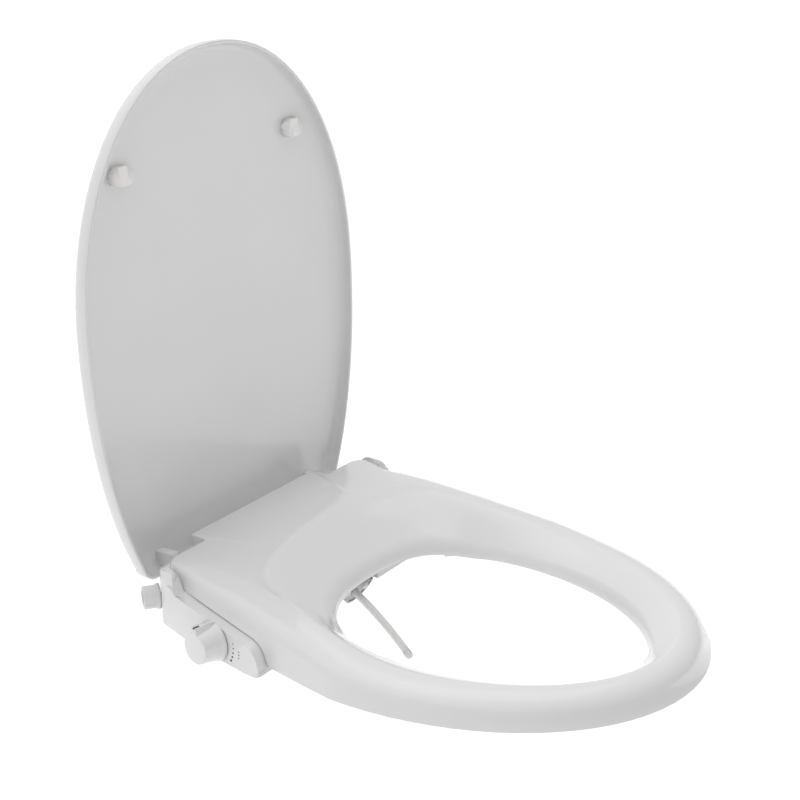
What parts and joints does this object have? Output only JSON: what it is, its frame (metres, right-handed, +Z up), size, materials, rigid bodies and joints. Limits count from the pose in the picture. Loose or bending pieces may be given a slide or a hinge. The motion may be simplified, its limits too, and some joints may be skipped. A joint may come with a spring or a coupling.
{
  "type": "bidet toilet seat",
  "caption": "Toilet seat with an open lid on soft-close hinges, a side cover with a control knob and water inlet, and washing nozzles that swing out from under the seat.",
  "frame": {"origin": "midway between the two bowl-bolt slots, on the underside of the mounting plate, which is the top of the toilet bowl", "axes": "+Z up, the front of the seat towards -Y, the knob and water inlet on the -X side"},
  "size_m": [0.3832, 0.5129, 0.5426],
  "materials": {
    "white_abs": "glossy white",
    "grey_abs": "satin grey",
    "soft_pad": "matt translucent white",
    "steel": "plain",
    "black_rubber": "matt",
    "hose_pe": "satin",
    "print_grey": "printed",
    "white_pom": "satin"
  },
  "bodies": {
    "base": {"base_tray": "white_abs", "base_cover": "white_abs", "side_cover_left": "white_abs", "side_cover_right": "white_abs", "case_screws": "steel", "base_pads": "soft_pad", "mounting_plate": "white_pom", "button_spring": "steel", "lid_damper_body": "grey_abs", "seat_damper_body": "grey_abs", "valve_body": "grey_abs", "panel_marks": "print_grey", "inlet_fitting": "white_pom", "inlet_filter": "grey_abs", "supply_hose": "hose_pe", "rear_wash_hose": "hose_pe", "front_wash_hose": "hose_pe", "nozzle_shroud": "grey_abs", "nozzle_guide": "grey_abs", "rear_barrel": "white_pom", "front_barrel": "white_pom"},
    "seat": {"seat_shell": "white_abs", "seat_underside": "white_abs", "seat_lugs": "white_abs", "seat_bumpers": "soft_pad", "seat_lug_screws": "steel", "seat_hinge_shaft": "steel"},
    "lid": {"lid_shell": "white_abs", "lid_arms": "white_abs", "lid_bumpers": "soft_pad", "lid_hinge_shaft": "steel"},
    "knob": {"control_knob": "white_abs", "knob_mark": "print_grey", "valve_spindle": "white_pom", "spindle_seal": "black_rubber"},
    "rear_wand": {"rear_nozzle": "white_pom", "rear_nozzle_tip": "white_pom", "rear_piston_seal": "black_rubber"},
    "front_wand": {"front_nozzle": "white_pom", "front_nozzle_tip": "white_pom", "front_piston_seal": "black_rubber"},
    "release": {"release_button": "white_abs"}
  },
  "joints": [
    {"name": "seat_hinge", "type": "hinge", "parent": "base", "child": "seat", "pos_m": [0, 0.022, 0.04], "axis": [-1, 0, 0], "range_deg": [0, 95]},
    {"name": "lid_hinge", "type": "hinge", "parent": "base", "child": "lid", "pos_m": [0, 0.022, 0.04], "axis": [-1, 0, 0], "range_deg": [-98.5, 0]},
    {"name": "knob_turn", "type": "hinge", "parent": "base", "child": "knob", "pos_m": [-0.17325, -0.05686, 0.0177], "axis": [-0.9842, 0.1771, 0], "range_deg": [-120, 60]},
    {"name": "rear_nozzle_swing", "type": "hinge", "parent": "base", "child": "rear_wand", "pos_m": [0, 0.055, -0.243], "axis": [1, 0, 0], "range_deg": [-16, 0]},
    {"name": "front_nozzle_swing", "type": "hinge", "parent": "base", "child": "front_wand", "pos_m": [0, 0.055, -0.243], "axis": [1, 0, 0], "range_deg": [0, 16], "stiffness_Nm_per_rad": 0.06, "springref_deg": -17.19},
    {"name": "release_press", "type": "slide", "parent": "base", "child": "release", "axis": [-0.9842, -0.1771, 0], "range_m": [0, 0.002], "stiffness_N_per_m": 300, "springref_m": -0.002, "deforming": ["button_spring"]}
  ]
}
